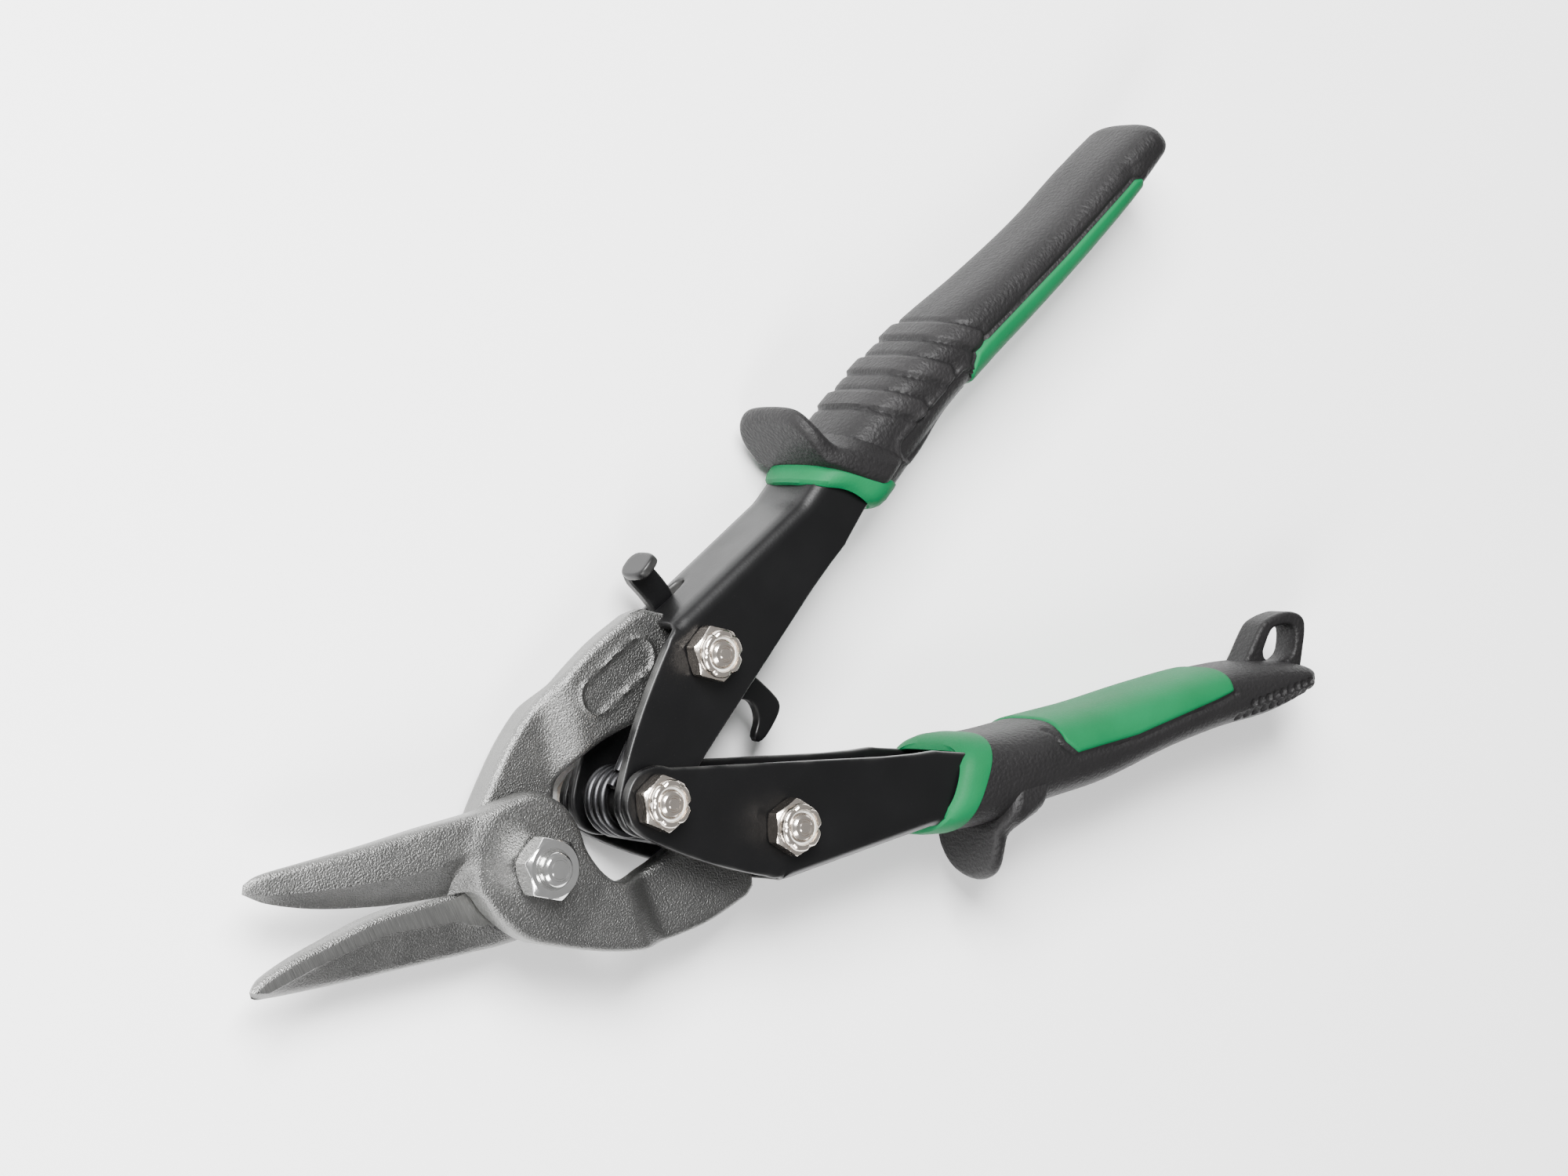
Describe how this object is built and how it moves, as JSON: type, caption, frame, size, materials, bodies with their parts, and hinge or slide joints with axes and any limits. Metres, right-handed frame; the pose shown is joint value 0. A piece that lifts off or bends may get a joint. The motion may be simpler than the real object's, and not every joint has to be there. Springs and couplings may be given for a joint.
{
  "type": "aviation snips",
  "caption": "Compound-action aviation snips with two forged blades, pressed channel handles, a return spring, a thumb latch and two-colour grips with a hang loop.",
  "frame": {"origin": "centre of the handle pivot bolt's head face, where the tool lies on the bench", "axes": "+X along the linkage axis from the blade pivot towards the grips, +Y towards the handle with the latch, +Z from the bolt heads to the nuts"},
  "size_m": [0.2372, 0.1122, 0.0291],
  "materials": {
    "blade_steel": "satin, bead blasted, ground along the edges",
    "bright_steel": "bright plated",
    "nickel": "warm nickel plate",
    "zinc": "turned, zinc plated",
    "nylon": "moulded",
    "spring_wire": "oil-blackened wire",
    "black_steel": "satin black coating",
    "black_rubber": "fine moulded texture",
    "green_rubber": "smooth matte"
  },
  "bodies": {
    "near_blade": {"near_blade": "blade_steel", "blade_pivot_bolt": "bright_steel", "blade_pivot_nut": "bright_steel"},
    "far_blade": {"far_blade": "blade_steel"},
    "lower_handle": {"lower_channel": "black_steel", "lower_grip": "black_rubber", "lower_collar": "green_rubber", "lower_inlay": "green_rubber", "handle_pivot_bolt": "nickel", "handle_pivot_nut": "nickel", "handle_pivot_nylon_insert": "nylon", "lower_link_bolt": "nickel", "lower_link_nut": "nickel", "lower_link_nylon_insert": "nylon", "lower_near_spacer": "zinc", "lower_far_spacer": "zinc", "spring_sleeve": "zinc", "torsion_spring": "spring_wire"},
    "upper_handle": {"upper_channel": "black_steel", "upper_grip": "black_rubber", "upper_collar": "green_rubber", "upper_inlay": "green_rubber", "upper_link_bolt": "nickel", "upper_link_nut": "nickel", "upper_link_nylon_insert": "nylon", "upper_link_spacer": "zinc"},
    "latch": {"latch": "black_steel"}
  },
  "joints": [
    {"name": "blade_pivot", "type": "hinge", "parent": "near_blade", "child": "far_blade", "pos_m": [-0.0236, 0, 0.0135], "axis": [0, 0, 1], "range_deg": [-17.6, 0]},
    {"name": "lower_link_pivot", "type": "hinge", "parent": "near_blade", "child": "lower_handle", "pos_m": [0.02271, -0.01705, 0.0135], "axis": [0, 0, 1], "range_deg": [0, 8.1]},
    {"name": "handle_pivot", "type": "hinge", "parent": "lower_handle", "child": "upper_handle", "pos_m": [0, 0, 0.0135], "axis": [0, 0, 1], "range_deg": [-33.7, 0], "stiffness_Nm_per_rad": 0.5, "springref_deg": 28.65, "deforming": ["torsion_spring"]},
    {"name": "latch_pivot", "type": "hinge", "parent": "upper_handle", "child": "latch", "pos_m": [0.02271, 0.01705, 0.0135], "axis": [0, 0, 1], "range_deg": [-10.7, 5]}
  ],
  "couplings": [
    {"joint": "blade_pivot", "follows": "handle_pivot", "ratio": 0.52},
    {"joint": "lower_link_pivot", "follows": "handle_pivot", "ratio": -0.24}
  ]
}
